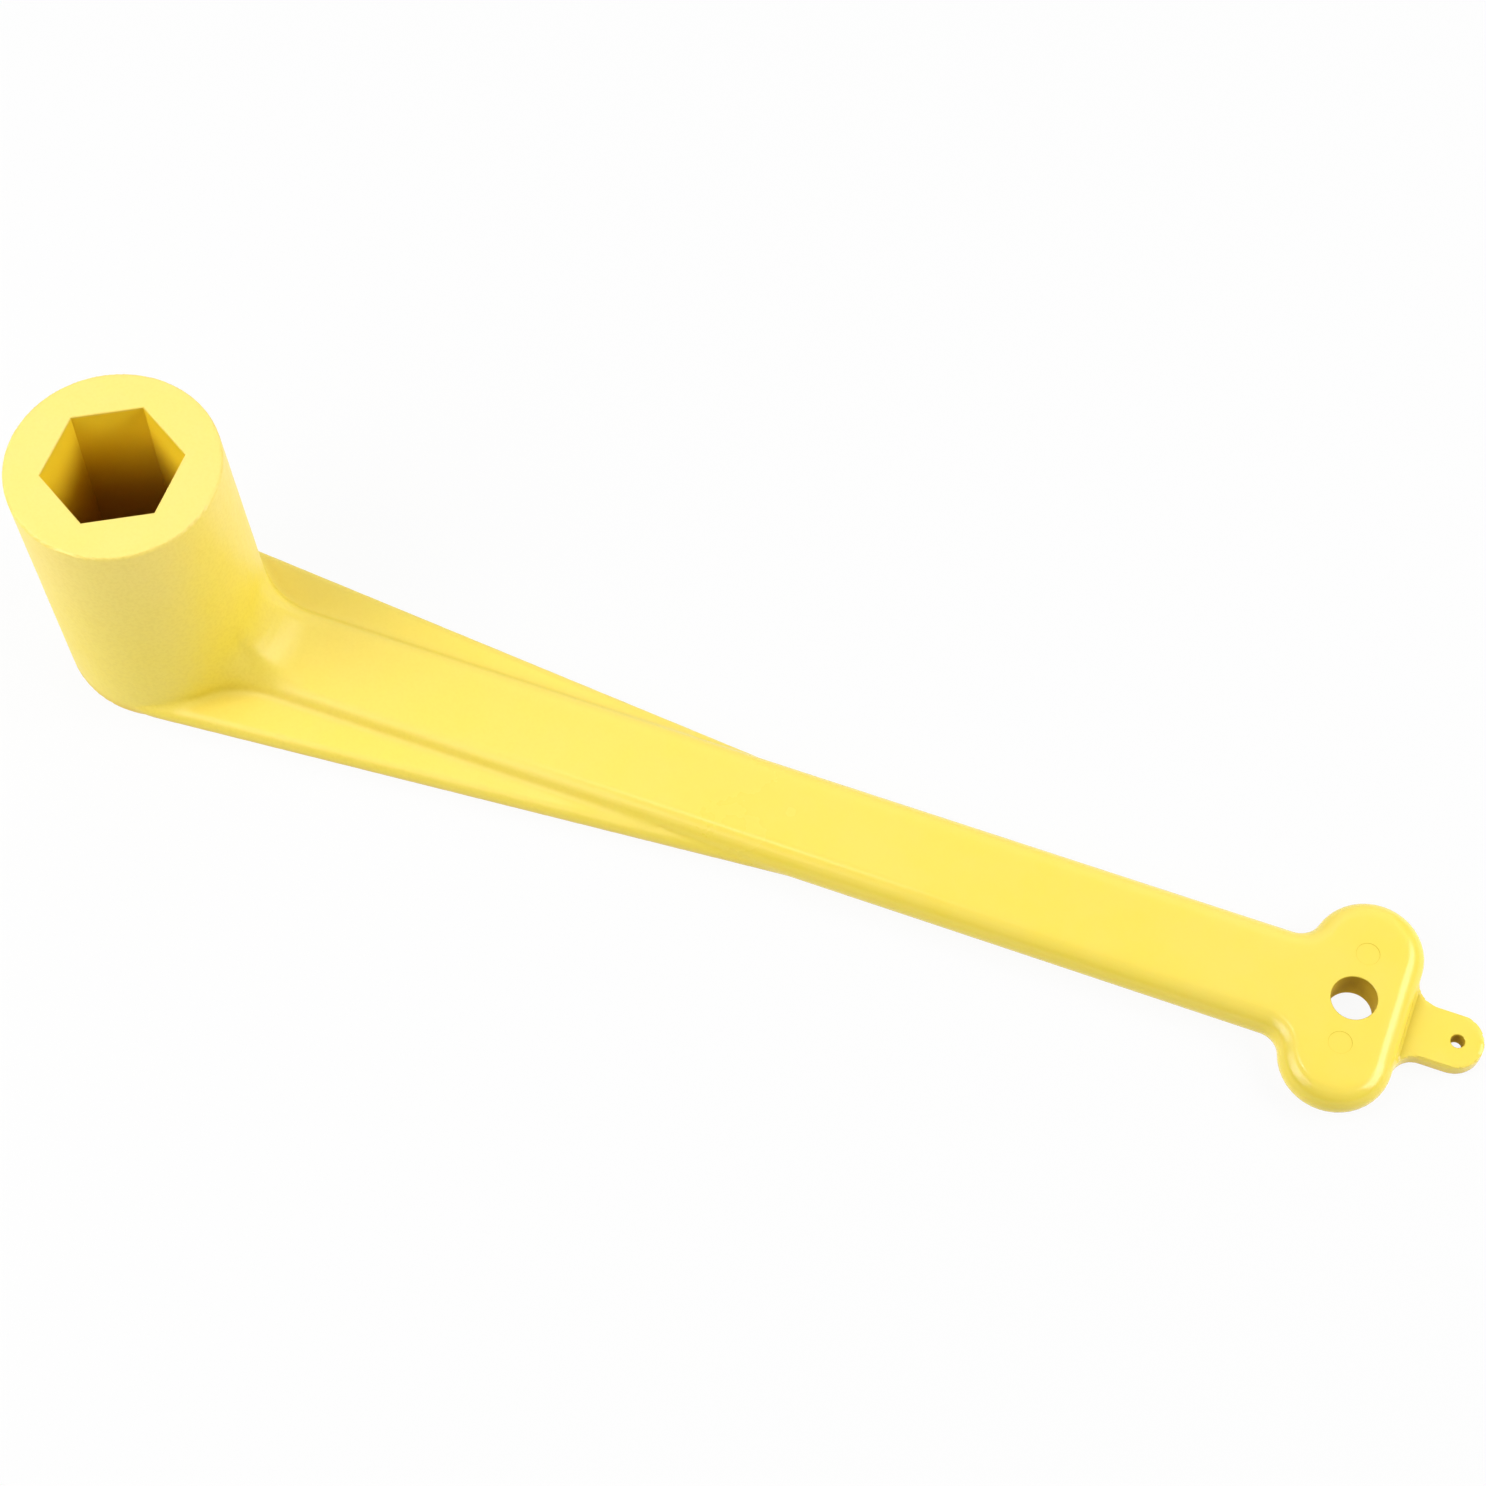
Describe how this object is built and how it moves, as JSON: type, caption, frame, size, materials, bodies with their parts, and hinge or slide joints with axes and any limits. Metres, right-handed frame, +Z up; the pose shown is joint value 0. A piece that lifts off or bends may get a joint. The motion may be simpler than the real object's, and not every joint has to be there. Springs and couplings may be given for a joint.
{
  "type": "hex socket wrench",
  "caption": "One-piece moulded plastic wrench: a deep hexagonal socket head, a flanged flat handle, a T-shaped end with a hanging hole, and a thin drilled tab.",
  "frame": {"origin": "where the hexagonal socket's axis meets the flat underside", "axes": "+X along the handle from the socket to the T-end, +Z up the socket's axis out of its mouth, +Y completes the right-handed frame"},
  "size_m": [0.3357, 0.0496, 0.0664],
  "materials": {
    "skin": "satin as-moulded yellow plastic with a fine mottled texture",
    "core": "fine closed-cell foam of the same yellow plastic"
  },
  "bodies": {
    "root": {"moulded_skin": "skin", "foamed_core": "core"}
  },
  "joints": []
}
